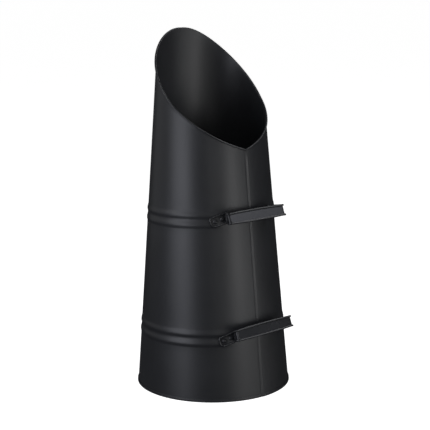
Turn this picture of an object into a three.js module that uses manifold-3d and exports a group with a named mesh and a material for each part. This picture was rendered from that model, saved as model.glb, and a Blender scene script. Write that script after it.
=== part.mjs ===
// Coal scuttle: a tall tapered hod of powder-coated sheet steel, with a slanted mouth and two
// strap handles riveted one above the other on the side of its seam.
// Millimetres, +Z up. The seam and the handles are on the -Y side, the high lip on the +Y side.
import * as THREE from 'three';
import { mergeVertices } from 'three/addons/utils/BufferGeometryUtils.js';
import Module from 'manifold-3d';

const wasm = await Module();
wasm.setup();

// ---- driving dimensions ----------------------------------------------------------------------

// the body: one blank of sheet steel, rolled to a cone whose edges lap at one seam
const sheet = 0.6; // thickness of the body's steel
const baseRadius = 108.5; // outside of the wall at the foot
const lipRadius = 67.6; // outside of the wall at the height of the lip
const lipHeight = 501.4; // top of the mouth's edge at the lip
const mouthHeight = 341.9; // top of the mouth's edge at the seam
const leanBack = 7.2; // how far the wall's centre has moved away from the seam at lipHeight
const flattening = 5.5; // how much flatter than round, seam to lip, the section at lipHeight is
const seamArch = 6.2; // the edge arches this high on each side of the seam, and meets there in a V
const seamArchEnd = 77.5; // degrees from the seam where those arches run out
const seamArchPower = 0.75; // under 1, the arches are steeper where they meet
const lipArch = 2.3; // how far the edge arches between there and the lip

// the lap seam up the front: the blank's +X edge lies on its other one
const lapProud = 0.6; // stands proud of the wall
const lapWidth = 6; // from the seam's line to where the lap starts to run out
const lapEdge = 1.2; // across the step at its edge

// the beads: two pairs of ripples rolled outwards, which run out under the handles' ends
const beadHeights = [86, 248]; // middle of each pair
const beadPitch = 13; // crest to crest in a pair
const beadUpperFlank = 7.4; // from a crest up to the valley, or the wall, above it
const beadProud = 1; // crest above the wall
const beadStop = 36; // round the wall, from the seam to where the beads begin
const beadRunOut = 20; // from there to where they have their full height

// the mouth's edge, curled outwards round a wire
const wireRadius = 0.5;
const curlSweep = 235; // degrees that the edge is curled through

// the pan that closes the foot
const panSheet = 0.8; // thickness of the pan's steel
const panRaise = 6; // underside of its floor above the ground
const foldHeight = 4.1; // height of the fold that clasps the wall's lower edge

// the handles: a pressed strap with curled edges, bent to a D, whose flattened ends are riveted on
const strapSheet = 0.9; // thickness of the strap's web
const strapCurl = 1.4; // radius of its curled edges
const gripWidth = 17.6; // overall width in the middle of the grip
const gripEndWidth = 16; // overall width at the grip's corners
const plateWidth = 15.8; // overall width of the riveted ends
const gripHalf = 49; // from the middle of the grip to its corner
const gripStandoff = 16.2; // from the wall at the seam out to the back of the grip
const gripTilt = 23; // degrees that the grip's face looks up
const creaseArc = 34.8; // round the wall, from the seam to where the strap meets it
const plateLength = 25; // from that crease to the end of the plate
const plateDroop = 17; // degrees that the plate runs down from its crease
const plateCorner = 5; // radius of the plate's corners, on the line of the curled edge
const cornerBend = 5; // length of strap that the bend at a grip's corner takes up on each side
const creaseBend = 5; // the same at the crease

// Each handle as it was bent and riveted on: its pair of beads, its creases' height above the
// middle of them, its grip's height above its creases, and degrees out of level, +X end up.
const handles = {
  lower: { beads: 0, lift: 4.8, rise: 7.5, skew: 2.3 },
  upper: { beads: 1, lift: 4.2, rise: 2.2, skew: 0.7 },
};

// the rivets, two through each plate
const rivetRadius = 2;
const rivetHeadRadius = 3.3;
const rivetHeadHeight = 2;
const rivetTailRadius = 3;
const rivetTailFlat = 2.2; // radius of the tail's flat end
const rivetTailHeight = 1.3;
const rivetPlaces = { inner: 7, outer: 17 }; // along the plate, from its crease

// between pieces that touch
const clearance = 0.3;

// how finely the round shapes are stepped
const wallSteps = 48;
const flankSteps = 3;
const curlSteps = 6;
const wireSteps = 6;
const strapCurlSteps = 8;
const gripSteps = 3;
const bendSteps = 5;
const armSteps = 2;
const plateSteps = 3;
const roundingSteps = 4;
const rivetSteps = 12;
const domeSteps = 3;

// ---- materials -------------------------------------------------------------------------------

const bodyCoat = new THREE.MeshStandardMaterial({ color: 0x26272a, roughness: 0.55, metalness: 0.1 });
const handleCoat = new THREE.MeshStandardMaterial({ color: 0x2a2b2e, roughness: 0.5, metalness: 0.1 });
const rivetCoat = new THREE.MeshStandardMaterial({ color: 0x303134, roughness: 0.45, metalness: 0.2 });
const wireSteel = new THREE.MeshStandardMaterial({ color: 0x8d9094, roughness: 0.4, metalness: 0.9 });

// ---- solids from rings of points ---------------------------------------------------------------

const radians = THREE.MathUtils.degToRad;
const mix = THREE.MathUtils.lerp;

// the faces that join each ring of points to the next one
function bandFaces(ringCount, pointCount, looped) {
  const faces = [];
  for (let row = 0; row < (looped ? ringCount : ringCount - 1); row += 1) {
    const low = row * pointCount;
    const high = ((row + 1) % ringCount) * pointCount;
    for (let side = 0; side < pointCount; side += 1) {
      const next = (side + 1) % pointCount;
      faces.push(low + side, low + next, high + next, low + side, high + next, high + side);
    }
  }
  return faces;
}

// a tube of rings whose last ring joins its first
function loopedSkin(rings) {
  const geometry = new THREE.BufferGeometry().setFromPoints(rings.flat());
  geometry.setIndex(bandFaces(rings.length, rings[0].length, true));
  return geometry;
}

// a tube of rings whose two ends are closed with a fan of faces
function cappedSkin(rings) {
  const count = rings[0].length;
  const points = rings.flat();
  const faces = bandFaces(rings.length, count, false);
  for (const [ring, first, step] of [[rings[0], 0, -1], [rings.at(-1), points.length - count, 1]]) {
    const middle = points.length;
    const sum = ring.reduce((total, point) => total.add(point), new THREE.Vector3());
    points.push(sum.divideScalar(count));
    for (let side = 0; side < count; side += 1) {
      faces.push(middle, first + side, first + (side + step + count) % count);
    }
  }
  const geometry = new THREE.BufferGeometry().setFromPoints(points);
  geometry.setIndex(faces);
  return geometry;
}

function toSolid(geometry) {
  geometry.deleteAttribute('normal');
  geometry.deleteAttribute('uv');
  const merged = mergeVertices(geometry);
  return new wasm.Manifold(new wasm.Mesh({
    numProp: 3,
    vertProperties: new Float32Array(merged.attributes.position.array),
    triVerts: new Uint32Array(merged.index.array),
  }));
}

function toGeometry(solid) {
  const mesh = solid.getMesh();
  const geometry = new THREE.BufferGeometry();
  geometry.setAttribute('position', new THREE.BufferAttribute(mesh.vertProperties, 3));
  geometry.setIndex(new THREE.BufferAttribute(mesh.triVerts, 1));
  return geometry;
}

// ---- the wall's surface ------------------------------------------------------------------------

// Angles run round the wall from the seam, positive towards +X. The cone leans back a little, and
// is flatter from seam to lip than from side to side, the more so the higher up.
function wallRadius(angle, height) {
  const share = height / lipHeight;
  return mix(baseRadius, lipRadius, share) - flattening * share * Math.cos(2 * angle);
}

function wallPoint(angle, height, proud = 0) {
  const radius = wallRadius(angle, height) + proud;
  const centre = leanBack * height / lipHeight;
  return new THREE.Vector3(radius * Math.sin(angle), centre - radius * Math.cos(angle), height);
}

// the wall's own directions at a place: round it, up it and out of it
function wallFrame(angle, height) {
  const turn = 0.01;
  const rise = 1;
  const round = wallPoint(angle + turn, height).sub(wallPoint(angle - turn, height)).normalize();
  const up = wallPoint(angle, height + rise).sub(wallPoint(angle, height - rise)).normalize();
  const out = new THREE.Vector3().crossVectors(round, up).normalize();
  return { round, up: up.crossVectors(out, round), out };
}

// what is square to the leaning centre line rises a little towards the seam
function squareHeight(angle, height) {
  return height + wallRadius(angle, height) * Math.cos(angle) * leanBack / lipHeight;
}

// The columns of points that the wall is made of: four at the seam, which keep their distance from
// its line at every height, with the lap on its +X side, and even steps round the rest.
const seamColumns = [-lapWidth, -lapEdge / 2, lapEdge / 2, lapWidth].map((arc) => ({
  onLap: arc > 0,
  angleAt: (height) => arc / wallRadius(0, height),
}));
const plainColumns = Array.from({ length: wallSteps - 1 }, (_, index) => ({
  onLap: false,
  angleAt: () => (index + 1) * 2 * Math.PI / wallSteps,
}));
const columns = [...seamColumns, ...plainColumns];

// a rise from 0 to 1 that starts and ends level
const swell = (share) => (1 - Math.cos(Math.PI * THREE.MathUtils.clamp(share, 0, 1))) / 2;

// the share of a bead's height that is left at an angle: none by the seam
function beadShare(angle, height) {
  const arc = Math.acos(Math.cos(angle)) * wallRadius(0, height);
  return swell((arc - beadStop) / beadRunOut);
}

// a ring of points round the wall, at a height for each angle, so far proud of it, of the lap and
// of a bead
function wallRing(heightAt, proud, lap = 0, bead = 0) {
  return columns.map(({ onLap, angleAt }) => {
    const angle = angleAt(heightAt(0));
    const relief = (onLap ? lap : 0) + bead * beadShare(angle, heightAt(0));
    return wallPoint(angle, heightAt(angle), proud + relief);
  });
}

// ---- the body ----------------------------------------------------------------------------------

const arch = (share, height) => height * Math.sin(Math.PI * THREE.MathUtils.clamp(share, 0, 1));

// the top of the mouth's edge: a slanted cut whose two halves meet at the seam in a shallow V
function edgeHeight(angle) {
  const turn = THREE.MathUtils.radToDeg(Math.acos(Math.cos(angle)));
  const slant = mix(mouthHeight, lipHeight, (1 - Math.cos(angle)) / 2);
  const nearSeam = arch((turn / seamArchEnd) ** seamArchPower, seamArch);
  const nearLip = arch((turn - seamArchEnd) / (180 - seamArchEnd), lipArch);
  return slant + nearSeam + nearLip;
}

// a pair of beads as places above its middle, each with its share of the bead's full height
const beadLowerFlank = beadPitch - beadUpperFlank;
const beadPair = [[-beadPitch / 2 - beadLowerFlank, 0]];
for (const crest of [-beadPitch / 2, beadPitch / 2]) {
  for (let step = 1; step <= flankSteps; step += 1) {
    const share = step / flankSteps;
    beadPair.push([crest - beadLowerFlank * (1 - share), swell(share)]);
  }
  for (let step = 1; step <= flankSteps; step += 1) {
    const share = step / flankSteps;
    beadPair.push([crest + beadUpperFlank * share, swell(1 - share)]);
  }
}

// the wall's levels from its lower edge, inside the pan's fold, to the top of the upper beads
const lowerEdge = panSheet + clearance;
const wallLevels = [{ heightAt: () => lowerEdge, bead: 0 }];
for (const middle of beadHeights) {
  for (const [place, share] of beadPair) {
    wallLevels.push({ heightAt: (angle) => squareHeight(angle, middle + place), bead: beadProud * share });
  }
}

// the mouth's edge, column by column: its crest, out of the wall, and up across the edge
const crestLine = wallRing(edgeHeight, 0);
const edgeFrames = crestLine.map((point, index) => {
  const { onLap, angleAt } = columns[index];
  const before = crestLine.at(index - 1);
  const after = crestLine[(index + 1) % crestLine.length];
  const along = after.clone().sub(before).normalize();
  const { out } = wallFrame(angleAt(edgeHeight(0)), point.z);
  out.addScaledVector(along, -out.dot(along)).normalize();
  return { point, out, up: new THREE.Vector3().crossVectors(out, along), onLap };
});

const curlInner = wireRadius + clearance;
const curlOuter = curlInner + sheet;

// a ring along the mouth's edge, so far out of the wall and above the middle of the curl
function edgeRing(outwards, upwards, lap = 0) {
  return edgeFrames.map(({ point, out, up, onLap }) => point.clone()
    .addScaledVector(out, outwards + (onLap ? lap : 0))
    .addScaledVector(up, upwards - curlOuter));
}

function curlRings(radius) {
  return Array.from({ length: curlSteps + 1 }, (_, step) => {
    const turn = Math.PI - radians(curlSweep) * step / curlSteps;
    return edgeRing(curlInner + radius * Math.cos(turn), radius * Math.sin(turn));
  });
}

// up the outside, round the curl from inside it to outside it, and down the inside
function bodyBlank() {
  const outside = wallLevels.map(({ heightAt, bead }) => wallRing(heightAt, 0, lapProud, bead));
  const inside = wallLevels.map(({ heightAt, bead }) => wallRing(heightAt, -sheet, 0, bead));
  return loopedSkin([
    ...outside,
    edgeRing(0, -curlOuter, lapProud),
    ...curlRings(curlInner),
    ...curlRings(curlOuter).toReversed(),
    edgeRing(-sheet, -curlOuter),
    ...inside.toReversed(),
  ]);
}

// ---- the wire in the mouth's edge --------------------------------------------------------------

function rimWire() {
  const strands = Array.from({ length: wireSteps }, (_, side) => {
    const turn = -2 * Math.PI * side / wireSteps;
    return edgeRing(curlInner + wireRadius * Math.cos(turn), wireRadius * Math.sin(turn));
  });
  return loopedSkin(columns.map((_, index) => strands.map((strand) => strand[index])));
}

// ---- the pan -----------------------------------------------------------------------------------

// A raised floor, a flange down inside the wall, and a fold under its edge and up outside it. The
// section is a list of distances out of the wall's outer face, heights, and room for the lap.
function basePan() {
  const foldOuter = clearance + panSheet;
  const flangeOuter = -sheet - clearance;
  const flangeInner = flangeOuter - panSheet;
  const rounding = panSheet / 2;
  const section = [
    [flangeInner - rounding, panRaise, 0],
    [flangeInner, panRaise - rounding, 0],
    [flangeInner, rounding, 0],
    [flangeInner + rounding, 0, 0],
    [foldOuter - rounding, 0, lapProud],
    [foldOuter, rounding, lapProud],
    [foldOuter, foldHeight - panSheet, lapProud],
    [foldOuter - rounding, foldHeight, lapProud],
    [clearance, foldHeight, lapProud],
    [clearance, panSheet, lapProud],
    [flangeOuter, panSheet, 0],
    [flangeOuter, panRaise + panSheet - rounding, 0],
    [flangeOuter - rounding, panRaise + panSheet, 0],
  ];
  return cappedSkin(section.map(([proud, height, lap]) => wallRing(() => height, proud, lap)));
}

// ---- the handles -------------------------------------------------------------------------------

// Half a strap, on the side of the wall that its direction along X gives. Its line is that of the
// strap's back: from the middle of the grip to a corner, along an arm to the crease on the wall,
// and along the plate, which lies on the crests of its pair of beads.
class HalfStrap {
  constructor(direction, { beads, lift, rise, skew }) {
    this.direction = direction;
    const slope = direction * Math.tan(radians(skew));
    const droop = radians(plateDroop) - direction * radians(skew);
    const seamHeight = squareHeight(0, beadHeights[beads] + lift);
    const angleFor = (arc) => direction * arc / wallRadius(0, seamHeight);
    const creaseHeight = squareHeight(angleFor(creaseArc), beadHeights[beads] + lift) + creaseArc * slope;
    const platePoint = (along) => wallPoint(
      angleFor(creaseArc + along * Math.cos(droop)),
      creaseHeight - along * Math.sin(droop),
      beadProud + clearance,
    );
    const middle = wallPoint(0, seamHeight + rise, gripStandoff);
    const gripPoint = (along) => middle.clone().add(new THREE.Vector3(direction * along, 0, slope * along));
    const gripEnd = gripPoint(gripHalf - cornerBend);
    const corner = gripPoint(gripHalf);
    const crease = platePoint(0);
    const arm = corner.distanceTo(crease);
    const armStart = corner.clone().lerp(crease, cornerBend / arm);
    const armEnd = crease.clone().lerp(corner, creaseBend / arm);
    const plate = Array.from({ length: bendSteps + 1 }, (_, step) =>
      platePoint(mix(creaseBend, plateLength, step / bendSteps)));

    this.line = new THREE.CurvePath();
    this.line.add(new THREE.LineCurve3(middle, gripEnd));
    this.line.add(new THREE.QuadraticBezierCurve3(gripEnd, corner, armStart));
    this.line.add(new THREE.LineCurve3(armStart, armEnd));
    this.line.add(new THREE.QuadraticBezierCurve3(armEnd, crease, plate[0]));
    this.line.add(new THREE.CatmullRomCurve3(plate));
    [this.gripEnd, this.cornerEnd, this.armEnd, this.creaseEnd, this.length] = this.line.getCurveLengths();
    this.roundingStart = this.length - strapCurl - plateCorner;

    this.gripUp = new THREE.Vector3(0, Math.sin(radians(gripTilt)), Math.cos(radians(gripTilt)));
    const { up, round } = wallFrame(angleFor(creaseArc), creaseHeight);
    this.creaseUp = up;
    this.plateUp = up.clone().multiplyScalar(Math.cos(droop));
    this.plateUp.addScaledVector(round, direction * Math.sin(droop));
  }

  // half the strap's width at a distance along it, to the middle of its curled edge
  reach(distance) {
    const onGrip = Math.min(distance / this.gripEnd, 1);
    const onArm = THREE.MathUtils.clamp((distance - this.cornerEnd) / (this.armEnd - this.cornerEnd), 0, 1);
    const width = mix(mix(gripWidth, gripEndWidth, onGrip ** 2), plateWidth, onArm);
    const pastCorner = Math.max(distance - this.roundingStart, 0);
    const rounding = plateCorner - Math.sqrt(Math.max(plateCorner ** 2 - pastCorner ** 2, 0));
    return width / 2 - strapCurl - rounding;
  }

  // A place on the strap's back, its directions up across the strap and out of its face, and its
  // reach. The strap is bent along lines that needn't be square to it: along the grip's own up at
  // the corner, and straight up the wall at the crease. A slanted up is longer to suit.
  station(distance) {
    const point = this.line.getPoint(distance / this.length);
    const ahead = this.line.getTangent(distance / this.length);
    const onArm = THREE.MathUtils.smoothstep(distance, this.cornerEnd, this.armEnd);
    const onPlate = THREE.MathUtils.smoothstep(distance, this.creaseEnd, this.roundingStart);
    const up = this.gripUp.clone().lerp(this.creaseUp, onArm).lerp(this.plateUp, onPlate);
    const square = up.clone().addScaledVector(ahead, -up.dot(ahead));
    up.divideScalar(square.length());
    const out = new THREE.Vector3().crossVectors(ahead, square).normalize().multiplyScalar(this.direction);
    return { point, up, out, reach: this.reach(distance) };
  }

  // stations from the middle to the end, closer together at the bends and at the rounded end
  stations() {
    const stretches = [
      [0, this.gripEnd, gripSteps],
      [this.gripEnd, this.cornerEnd, bendSteps],
      [this.cornerEnd, this.armEnd, armSteps],
      [this.armEnd, this.creaseEnd, bendSteps],
      [this.creaseEnd, this.roundingStart, plateSteps],
    ];
    const distances = stretches.flatMap(([start, end, steps]) =>
      Array.from({ length: steps }, (_, step) => mix(start, end, step / steps)));
    for (let step = 0; step <= roundingSteps; step += 1) {
      distances.push(this.roundingStart + plateCorner * Math.sin(Math.PI / 2 * step / roundingSteps));
    }
    return distances.map((distance) => this.station(distance));
  }
}

// a point so far up across the strap, and so far out of its back
function strapPoint({ point, up, out }, across, outwards) {
  return point.clone().addScaledVector(up, across).addScaledVector(out, outwards);
}

// the web, a flat bar that reaches into the curled edges
function strapWeb(stations) {
  return cappedSkin(stations.map((station) => [
    strapPoint(station, -station.reach, 0),
    strapPoint(station, station.reach, 0),
    strapPoint(station, station.reach, strapSheet),
    strapPoint(station, -station.reach, strapSheet),
  ]));
}

// the curled edge, a bar that runs right round the strap
function strapEdge(stations) {
  const upper = stations.map((station) => ({ station, across: station.reach }));
  const lower = stations.toReversed().map((station) => ({ station, across: -station.reach }));
  const route = [...upper, ...lower];
  const line = route.map(({ station, across }) => strapPoint(station, across, strapCurl));
  return loopedSkin(line.map((point, index) => {
    const ahead = line[(index + 1) % line.length].clone().sub(line.at(index - 1)).normalize();
    const out = route[index].station.out.clone();
    out.addScaledVector(ahead, -out.dot(ahead)).normalize();
    const aside = new THREE.Vector3().crossVectors(out, ahead);
    return Array.from({ length: strapCurlSteps }, (_, side) => {
      const turn = (side + 0.5) * 2 * Math.PI / strapCurlSteps;
      return point.clone()
        .addScaledVector(aside, strapCurl * Math.cos(turn))
        .addScaledVector(out, strapCurl * Math.sin(turn));
    });
  }));
}

// ---- the rivets --------------------------------------------------------------------------------

// heights along a rivet, from the strap's back: its head is seated on the web, and its tail
// inside the wall, whose flat facets dip a little below its true curve
const facetDip = baseRadius * (1 - Math.cos(Math.PI / wallSteps));
const headSeat = strapSheet + clearance;
const headTop = headSeat + rivetHeadHeight;
const tailSeat = -(clearance + beadProud + sheet + facetDip + clearance);
const tailEnd = tailSeat - rivetTailHeight;

// turned pieces are made along +Y and then set along a rivet's own axis
function setOnAxis(geometry, { point, out }) {
  geometry.applyQuaternion(new THREE.Quaternion().setFromUnitVectors(new THREE.Vector3(0, 1, 0), out));
  return geometry.translate(point.x, point.y, point.z);
}

function rivet(seat) {
  const dome = Array.from({ length: domeSteps }, (_, step) => Math.PI / 2 * step / domeSteps).map((turn) => [
    rivetHeadRadius * Math.cos(turn),
    headSeat + rivetHeadHeight * Math.sin(turn),
  ]);
  const profile = [
    [0, tailEnd],
    [rivetTailFlat, tailEnd],
    [rivetTailRadius, tailSeat - rivetTailHeight / 2],
    [rivetTailRadius, tailSeat],
    [rivetRadius, tailSeat],
    [rivetRadius, headSeat],
    ...dome,
    [0, headTop],
  ];
  const outline = profile.map(([radius, height]) => new THREE.Vector2(radius, height));
  return setOnAxis(new THREE.LatheGeometry(outline, rivetSteps), seat);
}

function rivetHole(seat) {
  const radius = rivetRadius + clearance;
  const cylinder = new THREE.CylinderGeometry(radius, radius, headTop - tailEnd, rivetSteps);
  return toSolid(setOnAxis(cylinder.translate(0, (headTop + tailEnd) / 2, 0), seat));
}

// ---- putting it together -----------------------------------------------------------------------

const scuttle = new THREE.Group();

function addPiece(name, geometry, material) {
  geometry.computeVertexNormals();
  const mesh = new THREE.Mesh(geometry, material);
  mesh.name = name;
  scuttle.add(mesh);
}

// each handle with its four rivets, whose holes also go through the body's wall
let body = toSolid(bodyBlank());
for (const [level, handling] of Object.entries(handles)) {
  const halves = { left: new HalfStrap(-1, handling), right: new HalfStrap(1, handling) };
  const stations = [...halves.left.stations().slice(1).toReversed(), ...halves.right.stations()];
  let handle = toSolid(strapWeb(stations)).add(toSolid(strapEdge(stations)));
  for (const [side, half] of Object.entries(halves)) {
    for (const [row, place] of Object.entries(rivetPlaces)) {
      const seat = half.station(half.length - plateLength + place);
      const hole = rivetHole(seat);
      handle = handle.subtract(hole);
      body = body.subtract(hole);
      addPiece(`rivet_${level}_${side}_${row}`, rivet(seat), rivetCoat);
    }
  }
  addPiece(`handle_${level}`, toGeometry(handle), handleCoat);
}

addPiece('body_shell', toGeometry(body), bodyCoat);
addPiece('rim_wire', rimWire(), wireSteel);
addPiece('base_pan', basePan(), bodyCoat);

// the origin: on the ground, under the middle of the whole outline
const box = new THREE.Box3().setFromObject(scuttle);
const centre = box.getCenter(new THREE.Vector3());
scuttle.position.set(-centre.x, -centre.y, -box.min.z);

export default scuttle;
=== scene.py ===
"""The looks of a tall coal scuttle of black powder-coated sheet steel with two strap handles.

Metres, +Z up. The seam and the handles are on the -Y side, the high lip on the +Y side. The sections
follow the scuttle as it is put together: wall, wire, pan, handles and rivets.
"""
import math

import bmesh
import bpy
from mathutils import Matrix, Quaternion, Vector


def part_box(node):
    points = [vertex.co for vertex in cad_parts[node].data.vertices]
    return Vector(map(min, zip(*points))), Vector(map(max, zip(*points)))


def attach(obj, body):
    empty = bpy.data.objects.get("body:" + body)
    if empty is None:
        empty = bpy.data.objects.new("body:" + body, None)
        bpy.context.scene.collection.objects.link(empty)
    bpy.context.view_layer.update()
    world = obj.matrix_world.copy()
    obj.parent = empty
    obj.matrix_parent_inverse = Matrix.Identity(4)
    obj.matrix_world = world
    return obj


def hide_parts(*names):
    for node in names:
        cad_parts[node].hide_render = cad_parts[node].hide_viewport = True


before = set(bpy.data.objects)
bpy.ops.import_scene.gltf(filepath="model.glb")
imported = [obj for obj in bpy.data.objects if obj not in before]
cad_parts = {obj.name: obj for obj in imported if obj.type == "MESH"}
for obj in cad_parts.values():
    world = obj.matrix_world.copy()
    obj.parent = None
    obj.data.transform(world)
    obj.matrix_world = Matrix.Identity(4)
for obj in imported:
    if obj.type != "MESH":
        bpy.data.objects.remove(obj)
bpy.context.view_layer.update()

# ---- camera ------------------------------------------------------------------------------------
# The photograph was taken with a long lens, from a little above the middle of the scuttle, and
# from the left of its seam.

CAMERA_AZIMUTH = math.radians(-38.16)
CAMERA_ELEVATION = math.radians(10.97)
CAMERA_DISTANCE = 1.7536
CAMERA_ROLL = math.radians(-0.29)
AIM_HEIGHT = 0.2397
PHOTO_SIDE = 430
FOCAL_PIXELS = 1237.4
OPTICAL_CENTRE = (212.58, 215.49)
SENSOR_WIDTH = 36

# the foot's own centre, which lies behind the middle of the outline, because of the handles
BASE_RADIUS = 0.1085
FOLD_PROUD = 0.0011
FOOT_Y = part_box("base_pan")[1].y - BASE_RADIUS - FOLD_PROUD

camera_data = bpy.data.cameras.new("camera")
camera_data.sensor_width = SENSOR_WIDTH
camera_data.lens = SENSOR_WIDTH * FOCAL_PIXELS / PHOTO_SIDE
camera_data.shift_x = (PHOTO_SIDE / 2 - OPTICAL_CENTRE[0]) / PHOTO_SIDE
camera_data.shift_y = (OPTICAL_CENTRE[1] - PHOTO_SIDE / 2) / PHOTO_SIDE
camera = bpy.data.objects.new("camera", camera_data)
bpy.context.scene.collection.objects.link(camera)
backwards = Vector((
    math.sin(CAMERA_AZIMUTH) * math.cos(CAMERA_ELEVATION),
    -math.cos(CAMERA_AZIMUTH) * math.cos(CAMERA_ELEVATION),
    math.sin(CAMERA_ELEVATION),
))
camera.location = Vector((0, FOOT_Y, AIM_HEIGHT)) + backwards * CAMERA_DISTANCE
camera.rotation_mode = "QUATERNION"
camera.rotation_quaternion = (-backwards).to_track_quat("-Z", "Y") @ Quaternion((0, 0, 1), CAMERA_ROLL)
bpy.context.scene.camera = camera

# ---- the wall ----------------------------------------------------------------------------------
# One blank of 0.6 mm sheet steel, rolled to a cone that leans back a little. Its edges lap at the
# seam, two pairs of beads are rolled outwards into it and run out under the handles' ends, and the
# edge of its slanted mouth is curled outwards.

SHEET = 0.0006
LIP_RADIUS = 0.0676
LIP_HEIGHT = 0.5014
MOUTH_HEIGHT = 0.3419

# how far the centre moves away from the seam, and how much flatter than round the section gets
LEAN_BACK = 0.0072
FLATTENING = 0.0055

# the edge arches on each side of the seam, up to an angle from it in degrees, and again to the lip
SEAM_ARCH = 0.0062
SEAM_ARCH_END = 77.5
SEAM_ARCH_POWER = 0.75
LIP_ARCH = 0.0023

CLEARANCE = 0.0003
LOWER_EDGE = 0.0011

BEAD_HEIGHTS = (0.086, 0.248)
BEAD_PITCH = 0.013
BEAD_UPPER_FLANK = 0.0074
BEAD_LOWER_FLANK = BEAD_PITCH - BEAD_UPPER_FLANK
BEAD_PROUD = 0.001

# the beads run out under the handles' ends, so that none crosses the seam
BEAD_STOP = 0.036
BEAD_RUN_OUT = 0.02

# the lap: the right-hand edge lies on the left-hand one, with a fine groove at its foot
SEAM_STEP = 0.0006
SEAM_STEP_WIDTH = 0.0028
SEAM_GROOVE = 0.0002
SEAM_GROOVE_WIDTH = 0.0022
SEAM_RUN_OUT = 0.03

# the lap levels out below the mouth's edge, over this share of the wall above the upper beads
SEAM_EDGE_FADE = 0.25

WIRE_RADIUS = 0.0005
CURL_INNER = WIRE_RADIUS + CLEARANCE
CURL_OUTER = CURL_INNER + SHEET
CURL_SWEEP = math.radians(235)

# small steps round and up the wall, from which its directions are found
TURN_PROBE = math.radians(1.5)
RISE_PROBE = 0.001


def mix(low, high, share):
    return low + (high - low) * share


def smooth(share):
    share = min(max(share, 0.0), 1.0)
    return (1 - math.cos(math.pi * share)) / 2


def wall_radius(angle, height):
    share = height / LIP_HEIGHT
    return mix(BASE_RADIUS, LIP_RADIUS, share) - FLATTENING * share * math.cos(2 * angle)


def wall_point(angle, height, proud=0.0):
    """A place on the wall: its angle runs from the seam, positive towards +X."""
    radius = wall_radius(angle, height) + proud
    centre = FOOT_Y + LEAN_BACK * height / LIP_HEIGHT
    return Vector((radius * math.sin(angle), centre - radius * math.cos(angle), height))


def square_height(angle, height):
    """What is square to the leaning centre line rises a little towards the seam."""
    return height + wall_radius(angle, height) * math.cos(angle) * LEAN_BACK / LIP_HEIGHT


def edge_height(angle):
    """The top of the mouth's edge, a slanted cut whose halves meet at the seam in a shallow V."""
    turn = math.degrees(math.acos(math.cos(angle)))
    slant = mix(MOUTH_HEIGHT, LIP_HEIGHT, (1 - math.cos(angle)) / 2)
    seam_share = min(turn / SEAM_ARCH_END, 1) ** SEAM_ARCH_POWER
    lip_share = max((turn - SEAM_ARCH_END) / (180 - SEAM_ARCH_END), 0)
    return slant + SEAM_ARCH * math.sin(math.pi * seam_share) + LIP_ARCH * math.sin(math.pi * lip_share)


def edge_point(angle, outwards, upwards):
    """A place by the mouth's edge, so far out of the wall and above the middle of the curl."""
    left, right = angle - TURN_PROBE, angle + TURN_PROBE
    along = (wall_point(right, edge_height(right)) - wall_point(left, edge_height(left))).normalized()
    height = edge_height(angle)
    crest = wall_point(angle, height)
    round_wall = wall_point(right, height) - wall_point(left, height)
    up_wall = wall_point(angle, height + RISE_PROBE) - wall_point(angle, height - RISE_PROBE)
    out = round_wall.cross(up_wall).normalized()
    out = (out - along * out.dot(along)).normalized()
    return crest + out * outwards + out.cross(along) * (upwards - CURL_OUTER)


def seam_relief(arc):
    """How proud the wall is at a distance from the seam's line, positive to its right."""
    groove = -SEAM_GROOVE * (smooth(1 + arc / SEAM_GROOVE_WIDTH) if arc < 0 else 1)
    step = (SEAM_STEP + SEAM_GROOVE) * smooth(arc / SEAM_STEP_WIDTH)
    run_out = SEAM_STEP * smooth((arc - SEAM_STEP_WIDTH) / SEAM_RUN_OUT)
    return groove + step - run_out


def bead_relief(place):
    """How proud the wall is at a height above the middle of a pair of beads."""
    relief = 0.0
    for crest in (-BEAD_PITCH / 2, BEAD_PITCH / 2):
        above = place - crest
        flank = BEAD_UPPER_FLANK if above > 0 else BEAD_LOWER_FLANK
        relief = max(relief, BEAD_PROUD * smooth(1 - abs(above) / flank))
    return relief


# The blank's columns: distances from the seam near it, crowded towards its line, and angles round
# the rest.
SEAM_SPAN = 0.009
SEAM_COLUMNS = 14
SEAM_CROWDING = 1.6
PLAIN_START = math.radians(8)
PLAIN_COLUMNS = 150
seam_places = [SEAM_SPAN * (count / SEAM_COLUMNS) ** SEAM_CROWDING
               for count in range(SEAM_COLUMNS + 1)]
columns = [(arc, 0.0) for arc in seam_places]
for count in range(PLAIN_COLUMNS + 1):
    columns.append((0.0, mix(PLAIN_START, 2 * math.pi - PLAIN_START, count / PLAIN_COLUMNS)))
columns += [(-arc, 2 * math.pi) for arc in reversed(seam_places)]


def column_angle(column, height):
    """A column's angle at a height: near the seam it keeps its distance all the way up."""
    arc, angle = column
    return angle + arc / wall_radius(0, height)


# The blank's rows: up the wall, with closer ones at the beads, on up to the edge, and round the curl.
PLAIN_ROW = 0.009
BEAD_ROWS = 28
EDGE_ROWS = 18
CURL_ROWS = 16
bead_bottom = -BEAD_PITCH / 2 - BEAD_LOWER_FLANK
bead_top = BEAD_PITCH / 2 + BEAD_UPPER_FLANK


def even_rows(low, high):
    count = max(round((high - low) / PLAIN_ROW), 1)
    return [mix(low, high, step / count) for step in range(count)]


def bead_rows(middle):
    return [middle + mix(bead_bottom, bead_top, step / BEAD_ROWS) for step in range(BEAD_ROWS)]


levels = [
    LOWER_EDGE,
    *even_rows(LOWER_EDGE + SHEET, BEAD_HEIGHTS[0] + bead_bottom),
    *bead_rows(BEAD_HEIGHTS[0]),
    *even_rows(BEAD_HEIGHTS[0] + bead_top, BEAD_HEIGHTS[1] + bead_bottom),
    *bead_rows(BEAD_HEIGHTS[1]),
    BEAD_HEIGHTS[1] + bead_top,
]


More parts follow.
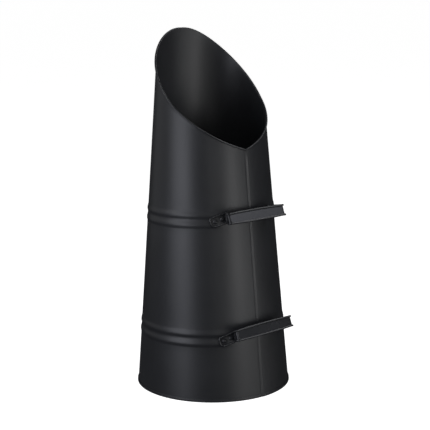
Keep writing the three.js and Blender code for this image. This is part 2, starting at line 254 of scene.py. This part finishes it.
def wall_place(column, level):
    """A place on the finished wall, whose rows are level at the foot and square from the beads up."""
    angle = column_angle(column, level)
    square_share = min((level - LOWER_EDGE) / (BEAD_HEIGHTS[0] + bead_bottom - LOWER_EDGE), 1)
    height = mix(level, square_height(angle, level), square_share)
    arc = math.remainder(angle, 2 * math.pi) * wall_radius(0, level)
    bead = max(bead_relief(level - middle) for middle in BEAD_HEIGHTS)
    bead *= smooth((abs(arc) - BEAD_STOP) / BEAD_RUN_OUT)
    return wall_point(angle, height, bead + seam_relief(arc))


def blank_place(column, row):
    """Where a corner of the blank ends up, once it is rolled and its edge is curled."""
    if row < len(levels):
        return wall_place(column, levels[row])
    angle = column_angle(column, edge_height(0))
    row -= len(levels) - 1
    if row <= EDGE_ROWS:
        share = row / EDGE_ROWS
        arc = math.remainder(angle, 2 * math.pi) * wall_radius(0, MOUTH_HEIGHT)
        below = wall_place(column, levels[-1]).lerp(edge_point(angle, 0, 0), share)
        out = (wall_point(angle, MOUTH_HEIGHT, 1) - wall_point(angle, MOUTH_HEIGHT)).normalized()
        return below + out * seam_relief(arc) * smooth((1 - share) / SEAM_EDGE_FADE) * share
    turn = math.pi - CURL_SWEEP * (row - EDGE_ROWS) / CURL_ROWS
    return edge_point(angle, CURL_INNER * (1 + math.cos(turn)), CURL_INNER * math.sin(turn))


MERGE_DISTANCE = 1e-6


def rolled_sheet(column_count, row_count, place):
    """A flat grid whose corners are moved to place(column, row), with its meeting edges joined."""
    shape = bmesh.new()
    bmesh.ops.create_grid(shape, x_segments=column_count - 1, y_segments=row_count - 1, size=0.5)
    for corner in shape.verts:
        column = round((corner.co.x + 0.5) * (column_count - 1))
        row = round((corner.co.y + 0.5) * (row_count - 1))
        corner.co = place(column, row)
    bmesh.ops.remove_doubles(shape, verts=shape.verts, dist=MERGE_DISTANCE)
    return shape


def add_piece(name, shape, coat, node):
    """Makes the shape a smooth piece of the scuttle that stands for its CAD node."""
    mesh = bpy.data.meshes.new(name)
    shape.to_mesh(mesh)
    shape.free()
    mesh.materials.append(coat)
    mesh.shade_smooth()
    piece = bpy.data.objects.new(name, mesh)
    bpy.context.scene.collection.objects.link(piece)
    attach(piece, "root")
    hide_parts(node)
    return piece


def give_thickness(piece, thickness):
    """The surface is one face of the sheet, and its steel lies behind it."""
    solidify = piece.modifiers.new("sheet thickness", "SOLIDIFY")
    solidify.thickness = thickness
    solidify.offset = -1


PEEL_SCALE = 900
PEEL_DETAIL = 3
PEEL_STRENGTH = 0.12
PEEL_DEPTH = 0.00012
PATCH_SCALE = 16
PATCH_DETAIL = 4
PATCH_RANGE = (0.3, 0.7)
GLOSS_SPREAD = 0.04
TINT_RANGE = (0.88, 1.12)


def powder_coat(name, colour, roughness):
    """Black powder coat: satin, with a fine orange peel and a slight unevenness in gloss and tint."""
    coat = bpy.data.materials.new(name)
    coat.use_nodes = True
    nodes, links = coat.node_tree.nodes, coat.node_tree.links
    shader = nodes["Principled BSDF"]
    place = nodes.new("ShaderNodeTexCoord")

    peel = nodes.new("ShaderNodeTexNoise")
    peel.inputs["Scale"].default_value = PEEL_SCALE
    peel.inputs["Detail"].default_value = PEEL_DETAIL
    links.new(place.outputs["Object"], peel.inputs["Vector"])
    bump = nodes.new("ShaderNodeBump")
    bump.inputs["Strength"].default_value = PEEL_STRENGTH
    bump.inputs["Distance"].default_value = PEEL_DEPTH
    links.new(peel.outputs["Fac"], bump.inputs["Height"])
    links.new(bump.outputs["Normal"], shader.inputs["Normal"])

    patches = nodes.new("ShaderNodeTexNoise")
    patches.inputs["Scale"].default_value = PATCH_SCALE
    patches.inputs["Detail"].default_value = PATCH_DETAIL
    links.new(place.outputs["Object"], patches.inputs["Vector"])
    gloss = nodes.new("ShaderNodeMapRange")
    gloss.inputs["To Min"].default_value = roughness - GLOSS_SPREAD
    gloss.inputs["To Max"].default_value = roughness + GLOSS_SPREAD
    links.new(patches.outputs["Fac"], gloss.inputs["Value"])
    links.new(gloss.outputs["Result"], shader.inputs["Roughness"])

    tint = nodes.new("ShaderNodeValToRGB")
    for stop, position, strength in zip(tint.color_ramp.elements, PATCH_RANGE, TINT_RANGE):
        stop.position = position
        stop.color = [shade * strength for shade in colour] + [1]
    links.new(patches.outputs["Fac"], tint.inputs["Fac"])
    links.new(tint.outputs["Color"], shader.inputs["Base Color"])
    return coat


WALL_COLOUR = (0.02, 0.021, 0.0235)
WALL_ROUGHNESS = 0.4

wall_coat = powder_coat("body powder coat", WALL_COLOUR, WALL_ROUGHNESS)
row_count = len(levels) + EDGE_ROWS + CURL_ROWS
blank = rolled_sheet(len(columns), row_count, lambda column, row: blank_place(columns[column], row))
wall = add_piece("wall", blank, wall_coat, "body_shell")
give_thickness(wall, SHEET)

# ---- the wire in the mouth's edge --------------------------------------------------------------
# A thin drawn steel wire that the mouth's edge is curled round. The curl grips it, so that only a
# line of it shows from below.

WIRE_SIDES = 12
WIRE_DARK = (0.42, 0.42, 0.43, 1)
WIRE_LIGHT = (0.58, 0.58, 0.59, 1)
WIRE_ROUGHNESS = (0.3, 0.45)
DRAWING_MARK_SCALE = 220

wire_steel = bpy.data.materials.new("drawn steel wire")
wire_steel.use_nodes = True
wire_shader = wire_steel.node_tree.nodes["Principled BSDF"]
wire_shader.inputs["Metallic"].default_value = 1
wire_coordinates = wire_steel.node_tree.nodes.new("ShaderNodeTexCoord")
drawing_marks = wire_steel.node_tree.nodes.new("ShaderNodeTexNoise")
drawing_marks.inputs["Scale"].default_value = DRAWING_MARK_SCALE
wire_tint = wire_steel.node_tree.nodes.new("ShaderNodeValToRGB")
wire_tint.color_ramp.elements[0].color = WIRE_DARK
wire_tint.color_ramp.elements[1].color = WIRE_LIGHT
wire_gloss = wire_steel.node_tree.nodes.new("ShaderNodeMapRange")
wire_gloss.inputs["To Min"].default_value = WIRE_ROUGHNESS[0]
wire_gloss.inputs["To Max"].default_value = WIRE_ROUGHNESS[1]
for start, end in (
    (wire_coordinates.outputs["Object"], drawing_marks.inputs["Vector"]),
    (drawing_marks.outputs["Fac"], wire_tint.inputs["Fac"]),
    (drawing_marks.outputs["Fac"], wire_gloss.inputs["Value"]),
    (wire_tint.outputs["Color"], wire_shader.inputs["Base Color"]),
    (wire_gloss.outputs["Result"], wire_shader.inputs["Roughness"]),
):
    wire_steel.node_tree.links.new(start, end)


def wire_place(column, row):
    """A place on the wire, whose rows run round its section."""
    angle = column_angle(columns[column], edge_height(0))
    turn = 2 * math.pi * row / WIRE_SIDES
    return edge_point(angle, CURL_INNER + WIRE_RADIUS * math.cos(turn), WIRE_RADIUS * math.sin(turn))


add_piece("rim_wire_drawn", rolled_sheet(len(columns), WIRE_SIDES + 1, wire_place),
          wire_steel, "rim_wire")

# ---- the pan -----------------------------------------------------------------------------------
# A pan pressed from 0.8 mm sheet closes the foot. Its floor is raised, its flange runs down inside
# the wall, and its edge is folded up round the wall's lower edge, which it clasps.

PAN_SHEET = 0.0008
PAN_RAISE = 0.006
FOLD_HEIGHT = 0.0041
FLANGE_BEND = 0.0016
FOLD_CORNER = 0.0007
BEND_STEPS = 6
CORNER_STEPS = 3
FLOOR_RINGS = 5
PAN_COLOUR = (0.019, 0.02, 0.0225)
PAN_ROUGHNESS = 0.42


def pan_section():
    """The pan's section by the wall: distances out of the wall's outer face, and heights."""
    flange_outer = -SHEET - CLEARANCE
    flange_inner = flange_outer - PAN_SHEET
    fold_inner = CLEARANCE
    fold_outer = CLEARANCE + PAN_SHEET

    def bend(centre_proud, centre_height, radius, start, end, steps=BEND_STEPS):
        turns = [math.radians(mix(start, end, step / steps)) for step in range(steps + 1)]
        return [(centre_proud + radius * math.cos(turn), centre_height + radius * math.sin(turn))
                for turn in turns]

    inner_bend = FLANGE_BEND - PAN_SHEET
    half = PAN_SHEET / 2
    foot_middle = (fold_outer + flange_inner) / 2
    return [
        *bend(flange_inner - inner_bend, PAN_RAISE - inner_bend, inner_bend, 90, 0),
        *bend(flange_inner + FOLD_CORNER, FOLD_CORNER, FOLD_CORNER, 180, 270, CORNER_STEPS),
        (foot_middle, 0),
        *bend(fold_outer - FOLD_CORNER, FOLD_CORNER, FOLD_CORNER, 270, 360, CORNER_STEPS),
        (fold_outer, FOLD_HEIGHT / 2),
        *bend(fold_outer - half, FOLD_HEIGHT - half, half, 0, 180),
        (fold_inner, PAN_SHEET),
        (flange_outer, PAN_SHEET),
        *bend(flange_inner - inner_bend, PAN_RAISE - inner_bend, FLANGE_BEND, 0, 90),
    ]


section = pan_section()


def pan_place(column, row):
    """A place on the pan: out under the floor, round the fold, and back over the floor."""
    if row < FLOOR_RINGS:
        proud, height = section[0]
        share = row / FLOOR_RINGS
    elif row >= FLOOR_RINGS + len(section):
        proud, height = section[-1]
        share = 1 - (row - FLOOR_RINGS - len(section) + 1) / FLOOR_RINGS
    else:
        proud, height = section[row - FLOOR_RINGS]
        share = 1
    angle = column_angle(columns[column], height)
    arc = math.remainder(angle, 2 * math.pi) * BASE_RADIUS
    relief = seam_relief(arc) if proud > 0 else 0
    centre = Vector((0, FOOT_Y, height))
    return centre.lerp(wall_point(angle, height, proud + relief), share)


pan_coat = powder_coat("pan powder coat", PAN_COLOUR, PAN_ROUGHNESS)
add_piece("pan", rolled_sheet(len(columns), len(section) + 2 * FLOOR_RINGS, pan_place),
          pan_coat, "base_pan")

# ---- the handles -------------------------------------------------------------------------------
# Each handle is a strap pressed from sheet steel with its edge rolled over all round, bent to a D,
# and riveted through its two flattened ends, over the places where a pair of beads runs out.

STRAP_SHEET = 0.0009
STRAP_CURL = 0.0014
GRIP_WIDTH = 0.0176
GRIP_END_WIDTH = 0.016
PLATE_WIDTH = 0.0158
GRIP_HALF = 0.049
GRIP_STANDOFF = 0.0162
GRIP_TILT = math.radians(23)
CREASE_ARC = 0.0348
PLATE_LENGTH = 0.025
PLATE_DROOP = math.radians(17)
PLATE_CORNER = 0.005
CORNER_BEND = 0.0035
CREASE_BEND = 0.0036
ROLL_SWEEP = math.radians(288)
HANDLE_COLOUR = (0.022, 0.023, 0.026)
HANDLE_ROUGHNESS = 0.26

# Each handle sits a little above its beads, by its lift, with its grip higher still, by its rise,
# and out of level, by its skew.
HANDLES = {
    "lower": {"middle": BEAD_HEIGHTS[0], "lift": 0.0048, "rise": 0.0075, "skew": math.radians(2.3)},
    "upper": {"middle": BEAD_HEIGHTS[1], "lift": 0.0042, "rise": 0.0022, "skew": math.radians(0.7)},
}

# Steps of the strap's path, and stations of its mesh, from one mark along it to the next.
PATH_STEPS = {"grip_end": 40, "corner_end": 24, "arm_end": 12, "crease_end": 24, "length": 40}
STATION_COUNTS = {"grip_end": 16, "corner_end": 10, "arm_end": 4, "crease_end": 12}
PLATE_STATIONS = 8
ROUNDING_STATIONS = 8
WEB_COLUMNS = 6
ROLL_STEPS = 14

# small steps round the wall, as an angle, and along the strap, to find the strap's directions by
CREASE_PROBE = 0.01
AHEAD_PROBE = 0.0008


def bent(start, corner, end, share):
    """A place along a bend that leaves start towards its corner and reaches end."""
    return start.lerp(corner, share).lerp(corner.lerp(end, share), share)


class HalfStrap:
    """Half a strap, from the middle of its grip to the end of its plate, along the strap's back."""

    def __init__(self, direction, middle, lift, rise, skew):
        self.direction = direction
        slope = direction * math.tan(skew)
        droop = PLATE_DROOP - direction * skew
        seam_height = square_height(0, middle + lift)

        def angle_for(arc):
            return direction * arc / wall_radius(0, seam_height)

        crease_angle = angle_for(CREASE_ARC)
        crease_height = square_height(crease_angle, middle + lift) + CREASE_ARC * slope

        def plate_point(along):
            angle = angle_for(CREASE_ARC + along * math.cos(droop))
            return wall_point(angle, crease_height - along * math.sin(droop), BEAD_PROUD + CLEARANCE)

        grip_middle = wall_point(0, seam_height + rise, GRIP_STANDOFF)
        grip_way = Vector((direction, 0, slope))
        grip_end = grip_middle + grip_way * (GRIP_HALF - CORNER_BEND)
        corner = grip_middle + grip_way * GRIP_HALF
        crease = plate_point(0)
        arm = (corner - crease).length
        arm_start = corner.lerp(crease, CORNER_BEND / arm)
        arm_end = crease.lerp(corner, CREASE_BEND / arm)
        stretches = {
            "grip_end": lambda share: grip_middle.lerp(grip_end, share),
            "corner_end": lambda share: bent(grip_end, corner, arm_start, share),
            "arm_end": lambda share: arm_start.lerp(arm_end, share),
            "crease_end": lambda share: bent(arm_end, crease, plate_point(CREASE_BEND), share),
            "length": lambda share: plate_point(mix(CREASE_BEND, PLATE_LENGTH, share)),
        }
        self.points = [grip_middle]
        self.distances = [0.0]
        self.marks = {}
        for mark, place in stretches.items():
            for step in range(1, PATH_STEPS[mark] + 1):
                point = place(step / PATH_STEPS[mark])
                self.distances.append(self.distances[-1] + (point - self.points[-1]).length)
                self.points.append(point)
            self.marks[mark] = self.distances[-1]
        self.length = self.marks["length"]
        self.rounding_start = self.length - STRAP_CURL - PLATE_CORNER

        foot = wall_point(crease_angle, crease_height)
        round_wall = (wall_point(crease_angle + CREASE_PROBE, crease_height) - foot).normalized()
        up_wall = wall_point(crease_angle, crease_height + RISE_PROBE) - foot
        up_wall = (up_wall - round_wall * up_wall.dot(round_wall)).normalized()
        self.grip_up = Vector((0, math.sin(GRIP_TILT), math.cos(GRIP_TILT)))
        self.crease_up = up_wall
        self.plate_up = up_wall * math.cos(droop) + round_wall * (direction * math.sin(droop))

    def at(self, distance):
        """The place at a distance along the strap's back."""
        distance = min(max(distance, 0.0), self.length)
        index = next(count for count, far in enumerate(self.distances) if far >= distance)
        if index == 0:
            return self.points[0]
        before, after = self.distances[index - 1], self.distances[index]
        return self.points[index - 1].lerp(self.points[index], (distance - before) / (after - before))

    def reach(self, distance):
        """Half the strap's width, to the middle of its rolled edge."""
        on_grip = min(distance / self.marks["grip_end"], 1)
        arm_length = self.marks["arm_end"] - self.marks["corner_end"]
        on_arm = min(max((distance - self.marks["corner_end"]) / arm_length, 0), 1)
        width = mix(mix(GRIP_WIDTH, GRIP_END_WIDTH, on_grip ** 2), PLATE_WIDTH, on_arm)
        past_corner = max(distance - self.rounding_start, 0)
        rounding = PLATE_CORNER - math.sqrt(max(PLATE_CORNER ** 2 - past_corner ** 2, 0))
        return width / 2 - STRAP_CURL - rounding

    def station(self, distance):
        """A place on the strap's back, its ways up across it and out of its face, and its reach.

        The strap is bent along lines that needn't be square to it: along the grip's own up at the
        corner, and straight up the wall at the crease. A slanted up is longer to suit.
        """
        point = self.at(distance)
        ahead = (self.at(distance + AHEAD_PROBE) - self.at(distance - AHEAD_PROBE)).normalized()

        def share(start, end):
            return smooth((distance - start) / (end - start))

        up = self.grip_up.lerp(self.crease_up, share(self.marks["corner_end"], self.marks["arm_end"]))
        up = up.lerp(self.plate_up, share(self.marks["crease_end"], self.rounding_start))
        square = up - ahead * up.dot(ahead)
        out = ahead.cross(square).normalized() * self.direction
        return point, up / square.length, out, self.reach(distance)

    def station_distances(self):
        """Distances along the strap, closer together at its bends and round its end's corners."""
        distances, start = [], 0.0
        for mark, count in STATION_COUNTS.items():
            distances += [mix(start, self.marks[mark], step / count) for step in range(count)]
            start = self.marks[mark]
        for step in range(PLATE_STATIONS):
            distances.append(mix(start, self.rounding_start, step / PLATE_STATIONS))
        for step in range(ROUNDING_STATIONS + 1):
            turn = math.pi / 2 * step / ROUNDING_STATIONS
            distances.append(self.rounding_start + PLATE_CORNER * math.sin(turn))
        return distances


def strap_shape(halves):
    """The strap's web as a grid, and its edge rolled over from the web's outline in steps."""
    left, right = ([half.station(distance) for distance in half.station_distances()]
                   for half in (halves["left"], halves["right"]))
    stations = list(reversed(left[1:])) + right
    shape = bmesh.new()
    bmesh.ops.create_grid(shape, x_segments=len(stations) - 1, y_segments=WEB_COLUMNS, size=0.5)
    outs = {}
    for corner in shape.verts:
        point, up, out, reach = stations[round((corner.co.x + 0.5) * (len(stations) - 1))]
        corner.co = point + up * (2 * reach * corner.co.y)
        outs[corner] = out
    bmesh.ops.reverse_faces(shape, faces=shape.faces)

    rim = [edge for edge in shape.edges if edge.is_boundary]
    frames = {}
    for edge in rim:
        for corner in edge.verts:
            ends = [side.other_vert(corner) for side in corner.link_edges if side.is_boundary]
            out = outs[corner]
            along = (ends[1].co - ends[0].co).normalized()
            aside = along.cross(out).normalized()
            inner = sum((face.calc_center_median() for face in corner.link_faces), Vector())
            inner = inner / len(corner.link_faces)
            if aside.dot(inner - corner.co) > 0:
                aside = -aside
            frames[corner] = (corner.co + out * STRAP_CURL, aside, out)
    for step in range(1, ROLL_STEPS + 1):
        turn = ROLL_SWEEP * step / ROLL_STEPS - math.pi / 2
        rolled = bmesh.ops.extrude_edge_only(shape, edges=rim)["geom"]
        grown = {}
        for corner in (item for item in rolled if isinstance(item, bmesh.types.BMVert)):
            source = next(side.other_vert(corner) for side in corner.link_edges
                          if side.other_vert(corner) in frames)
            grown[corner] = frames[source]
        for corner, (middle, aside, out) in grown.items():
            corner.co = middle + (aside * math.cos(turn) + out * math.sin(turn)) * STRAP_CURL
        rim = [item for item in rolled if isinstance(item, bmesh.types.BMEdge)]
        frames = grown
    return shape


handle_coat = powder_coat("handle powder coat", HANDLE_COLOUR, HANDLE_ROUGHNESS)
half_straps = {}
for level, handling in HANDLES.items():
    half_straps[level] = {
        "left": HalfStrap(-1, **handling),
        "right": HalfStrap(1, **handling),
    }
    handle = add_piece(f"strap_{level}", strap_shape(half_straps[level]),
                       handle_coat, f"handle_{level}")
    give_thickness(handle, STRAP_SHEET)

# ---- the rivets --------------------------------------------------------------------------------
# Eight domed steel rivets, coated with the rest, two through each of the handles' flattened ends.
# Each is clenched on the inside of the wall.

RIVET_RADIUS = 0.002
RIVET_HEAD_RADIUS = 0.0033
RIVET_HEAD_HEIGHT = 0.002
RIVET_TAIL_RADIUS = 0.003
RIVET_TAIL_FLAT = 0.0021
RIVET_TAIL_HEIGHT = 0.0013

# along the flattened end, from its crease
RIVET_PLACES = {"inner": 0.007, "outer": 0.017}
RIVET_STEPS = 28
DOME_STEPS = 8
RIVET_COLOUR = (0.024, 0.025, 0.028)
RIVET_ROUGHNESS = 0.25


def rivet_shape(point, out):
    """A rivet's outline spun round its axis: tail, shank and domed head, then set at its place."""
    seat = STRAP_SHEET
    tail_seat = -(CLEARANCE + BEAD_PROUD + SHEET)
    outline = [
        (0, tail_seat - RIVET_TAIL_HEIGHT),
        (RIVET_TAIL_FLAT, tail_seat - RIVET_TAIL_HEIGHT),
        (RIVET_TAIL_RADIUS, tail_seat - RIVET_TAIL_HEIGHT / 2),
        (RIVET_TAIL_RADIUS, tail_seat),
        (RIVET_RADIUS, tail_seat),
        (RIVET_RADIUS, seat),
        (RIVET_HEAD_RADIUS, seat),
    ]
    for step in range(1, DOME_STEPS + 1):
        turn = math.pi / 2 * step / DOME_STEPS
        outline.append((RIVET_HEAD_RADIUS * math.cos(turn), seat + RIVET_HEAD_HEIGHT * math.sin(turn)))
    shape = bmesh.new()
    corners = [shape.verts.new((radius, 0, height)) for radius, height in outline]
    edges = [shape.edges.new(pair) for pair in zip(corners, corners[1:])]
    bmesh.ops.spin(shape, geom=corners + edges, cent=(0, 0, 0), axis=(0, 0, 1), angle=2 * math.pi,
                   steps=RIVET_STEPS, use_merge=True)
    bmesh.ops.remove_doubles(shape, verts=shape.verts, dist=MERGE_DISTANCE)
    bmesh.ops.recalc_face_normals(shape, faces=shape.faces)
    bmesh.ops.rotate(shape, verts=shape.verts, cent=(0, 0, 0),
                     matrix=Vector((0, 0, 1)).rotation_difference(out).to_matrix())
    bmesh.ops.translate(shape, verts=shape.verts, vec=point)
    return shape


rivet_coat = powder_coat("rivet powder coat", RIVET_COLOUR, RIVET_ROUGHNESS)
for level, halves in half_straps.items():
    for side, half in halves.items():
        for row, along in RIVET_PLACES.items():
            point, _, out, _ = half.station(half.length - PLATE_LENGTH + along)
            add_piece(f"rivet_head_{level}_{side}_{row}", rivet_shape(point, out), rivet_coat,
                      f"rivet_{level}_{side}_{row}")

# ---- floor and light ---------------------------------------------------------------------------
# A plain pale studio floor that runs on to a white background. Upright softboxes stand round the
# scuttle in a dim room, the main ones on the left and in front, and two small panels hang over it.

FLOOR_SIZE = 60
FLOOR_COLOUR = (0.8, 0.8, 0.8, 1)
FLOOR_ROUGHNESS = 0.9
FLOOR_GLOW = 0.98
PLAIN_WHITE = (1, 1, 1, 1)
ROOM_LIGHT = 0.02

floor_shape = bmesh.new()
bmesh.ops.create_grid(floor_shape, x_segments=1, y_segments=1, size=FLOOR_SIZE / 2)
floor_mesh = bpy.data.meshes.new("floor")
floor_shape.to_mesh(floor_mesh)
floor_shape.free()
floor = bpy.data.objects.new("floor", floor_mesh)
bpy.context.scene.collection.objects.link(floor)
floor_paint = bpy.data.materials.new("floor paint")
floor_paint.use_nodes = True
floor_shader = floor_paint.node_tree.nodes["Principled BSDF"]
floor_shader.inputs["Base Color"].default_value = FLOOR_COLOUR
floor_shader.inputs["Roughness"].default_value = FLOOR_ROUGHNESS
floor_shader.inputs["Specular IOR Level"].default_value = 0
floor_shader.inputs["Emission Color"].default_value = PLAIN_WHITE
floor_shader.inputs["Emission Strength"].default_value = FLOOR_GLOW
floor_mesh.materials.append(floor_paint)
floor.visible_glossy = False
floor.visible_diffuse = False
floor.visible_shadow = False

world = bpy.data.worlds.new("studio")
world.use_nodes = True
room = world.node_tree.nodes["Background"]
room.inputs["Color"].default_value = PLAIN_WHITE
room.inputs["Strength"].default_value = ROOM_LIGHT
backdrop = world.node_tree.nodes.new("ShaderNodeBackground")
backdrop.inputs["Color"].default_value = PLAIN_WHITE
seen = world.node_tree.nodes.new("ShaderNodeLightPath")
either = world.node_tree.nodes.new("ShaderNodeMixShader")
for start, end in (
    (seen.outputs["Is Camera Ray"], either.inputs["Fac"]),
    (room.outputs["Background"], either.inputs[1]),
    (backdrop.outputs["Background"], either.inputs[2]),
    (either.outputs["Shader"], world.node_tree.nodes["World Output"].inputs["Surface"]),
):
    world.node_tree.links.new(start, end)
bpy.context.scene.world = world
bpy.context.scene.view_settings.view_transform = "Standard"


# Some softboxes reach below the floor, which lamps don't see: what they light there is the shine
# that a polished table would give back.
WHITE = (1, 1, 1)
COOL = (0.89, 0.91, 1)
LAMP_DISTANCE = 1.6
OVERHEAD_HEIGHT = 1.6


def lamp_panel(name, width, height, radiance, colour):
    """A flat lamp panel that glows evenly, and faces down until it is turned."""
    lamp = bpy.data.lights.new(name, "AREA")
    lamp.shape = "RECTANGLE"
    lamp.size = width
    lamp.size_y = height
    lamp.energy = radiance * math.pi * width * height
    lamp.color = colour
    panel = bpy.data.objects.new(name, lamp)
    bpy.context.scene.collection.objects.link(panel)
    return panel


def softbox(name, azimuth, low, high, width, radiance, colour=WHITE):
    """An upright lamp panel that faces the scuttle from an azimuth, from a low to a high edge."""
    box = lamp_panel(name, width, high - low, radiance, colour)
    turn = math.radians(azimuth)
    towards = Vector((math.sin(turn), -math.cos(turn), 0))
    box.location = Vector((0, FOOT_Y, (low + high) / 2)) + towards * LAMP_DISTANCE
    box.rotation_mode = "QUATERNION"
    box.rotation_quaternion = (-towards).to_track_quat("-Z", "Y")


softbox("left softbox", -85, 0.0, 1.6, 2.05, 0.38, COOL)
softbox("left core", -87, 0.0, 0.9, 1.05, 2.0, COOL)
softbox("left low", -80, -0.3, 0.4, 0.6, 1.2, COOL)
softbox("front left", -26, 0.05, 0.9, 0.42, 0.85)
softbox("front core", 9, 0.0, 0.9, 0.34, 2.75)
softbox("front softbox", 16, -0.3, 0.4, 1.6, 1.2)
softbox("right low", 55, -0.3, 0.0, 0.56, 0.4)
softbox("right high", 42, 0.95, 1.7, 0.65, 2.8, COOL)
softbox("high lamp", -110, 0.9, 1.6, 0.28, 10)
softbox("back fill", 212, 0.0, 1.2, 1.2, 0.28)

lamp_panel("overhead right", 0.8, 0.5, 4.6, WHITE).location = (1.1, FOOT_Y - 0.4, OVERHEAD_HEIGHT)
lamp_panel("overhead left", 0.35, 0.25, 9, WHITE).location = (-0.75, FOOT_Y - 0.85, OVERHEAD_HEIGHT)
